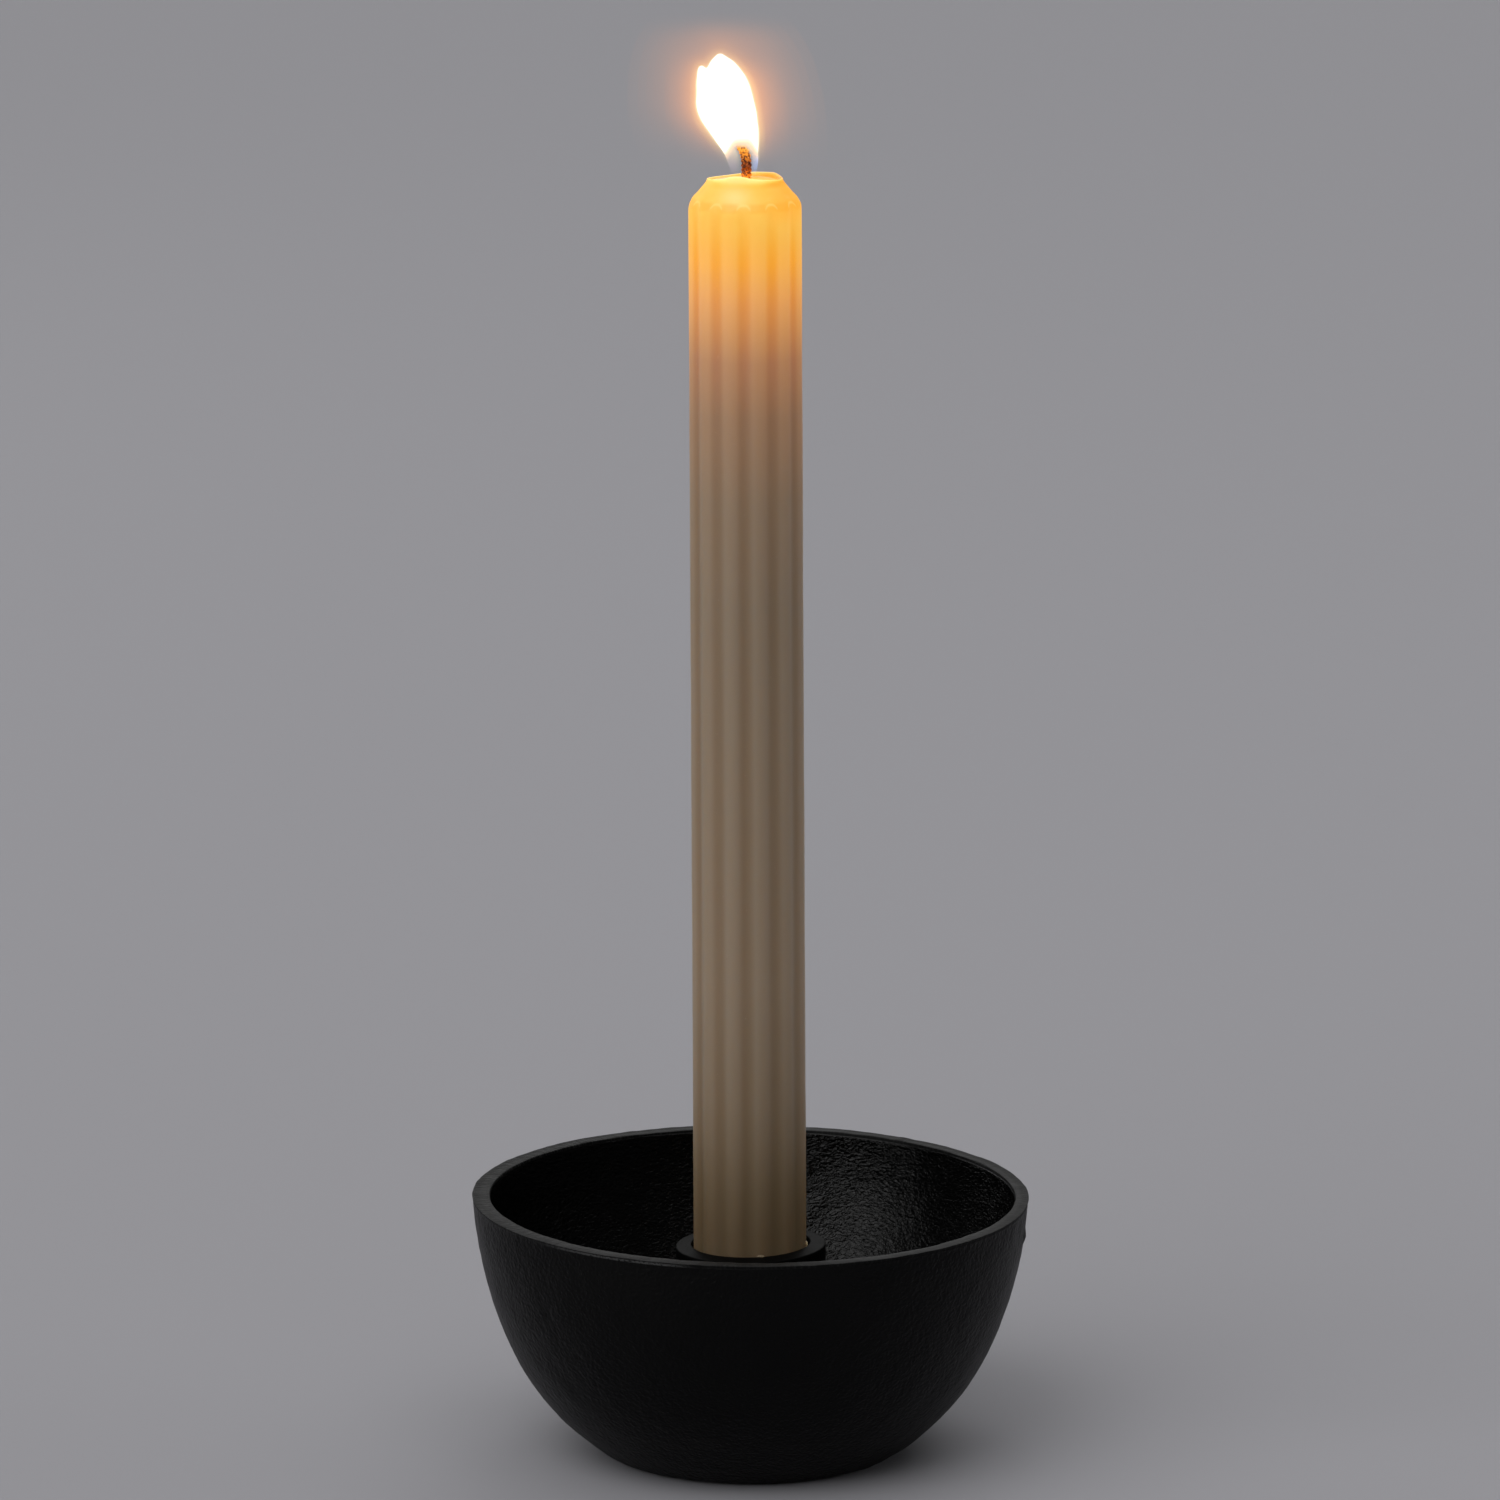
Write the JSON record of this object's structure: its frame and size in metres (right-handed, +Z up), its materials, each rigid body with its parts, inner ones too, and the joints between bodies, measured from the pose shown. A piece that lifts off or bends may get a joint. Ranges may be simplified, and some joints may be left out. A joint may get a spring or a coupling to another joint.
{
  "type": "candle holder",
  "caption": "Round black cast bowl with an upright tube in its middle that holds a lit, fluted dinner candle; the candle lifts out.",
  "frame": {"origin": "on the table, under the middle of the bowl", "axes": "+Z up along the candle tube, -Y towards the viewer of the picture; the candle leans a little towards -X"},
  "size_m": [0.1064, 0.1064, 0.2684],
  "materials": {
    "cast_black": "satin",
    "turned_black": "satin",
    "zinc_steel": "satin",
    "felt": "matte",
    "wax": "satin",
    "molten_wax": "gloss",
    "cotton": "matte",
    "flame": "matte"
  },
  "bodies": {
    "holder": {"bowl": "cast_black", "socket": "turned_black", "socket_screw": "zinc_steel", "screw_washer": "zinc_steel", "foot_pad": "felt"},
    "lit_candle": {"candle": "wax", "wick": "cotton", "wax_pool": "molten_wax", "flame": "flame"}
  },
  "joints": [
    {"name": "candle_lift", "type": "slide", "parent": "holder", "child": "lit_candle", "axis": [0, 0, 1], "range_m": [0, 0.06]}
  ]
}
